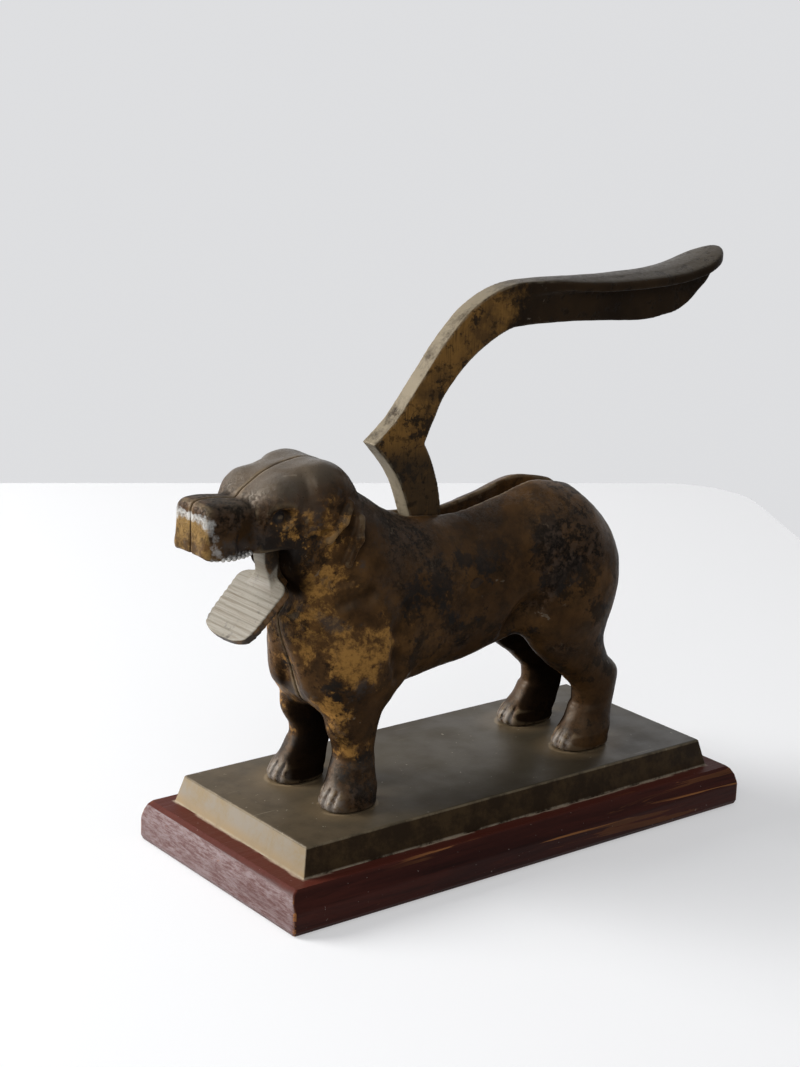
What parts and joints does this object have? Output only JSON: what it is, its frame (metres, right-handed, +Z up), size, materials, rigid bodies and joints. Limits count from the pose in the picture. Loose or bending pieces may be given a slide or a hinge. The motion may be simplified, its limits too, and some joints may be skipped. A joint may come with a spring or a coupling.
{
  "type": "nutcracker",
  "caption": "Standing cast dog on a wood-backed plinth; raising and lowering the tail lever works a toothed lower jaw that cracks nuts in the mouth.",
  "frame": {"origin": "centre of the wooden base's underside, on the surface it stands on", "axes": "+Z up, -X is the way the dog faces, +Y is the dog's right-hand side"},
  "size_m": [0.246, 0.1014, 0.2159],
  "materials": {
    "bronze_patina": "dark pitted cast bronze with brown and ochre patina",
    "bronze_lever": "cast bronze, worn lighter along the edges",
    "bronze_plate": "satin cast bronze with fine scratches",
    "stained_wood": "dark red-brown stain, worn at the edges",
    "steel_pin": "turned steel",
    "steel_screw": "slotted steel screw"
  },
  "bodies": {
    "stand": {"wood_base": "stained_wood", "plinth": "bronze_plate", "left_half": "bronze_patina", "right_half": "bronze_patina", "pivot_pin": "steel_pin", "body_rivet": "bronze_patina", "front_left_foot_screw": "steel_screw", "front_right_foot_screw": "steel_screw", "rear_left_foot_screw": "steel_screw", "rear_right_foot_screw": "steel_screw", "base_screw_1": "steel_screw", "base_screw_2": "steel_screw", "base_screw_3": "steel_screw", "base_screw_4": "steel_screw"},
    "lever": {"tail_lever": "bronze_lever"}
  },
  "joints": [
    {"name": "tail_hinge", "type": "hinge", "parent": "stand", "child": "lever", "pos_m": [-0.073, 0, 0.1213], "axis": [0, 1, 0], "range_deg": [0, 43]}
  ]
}
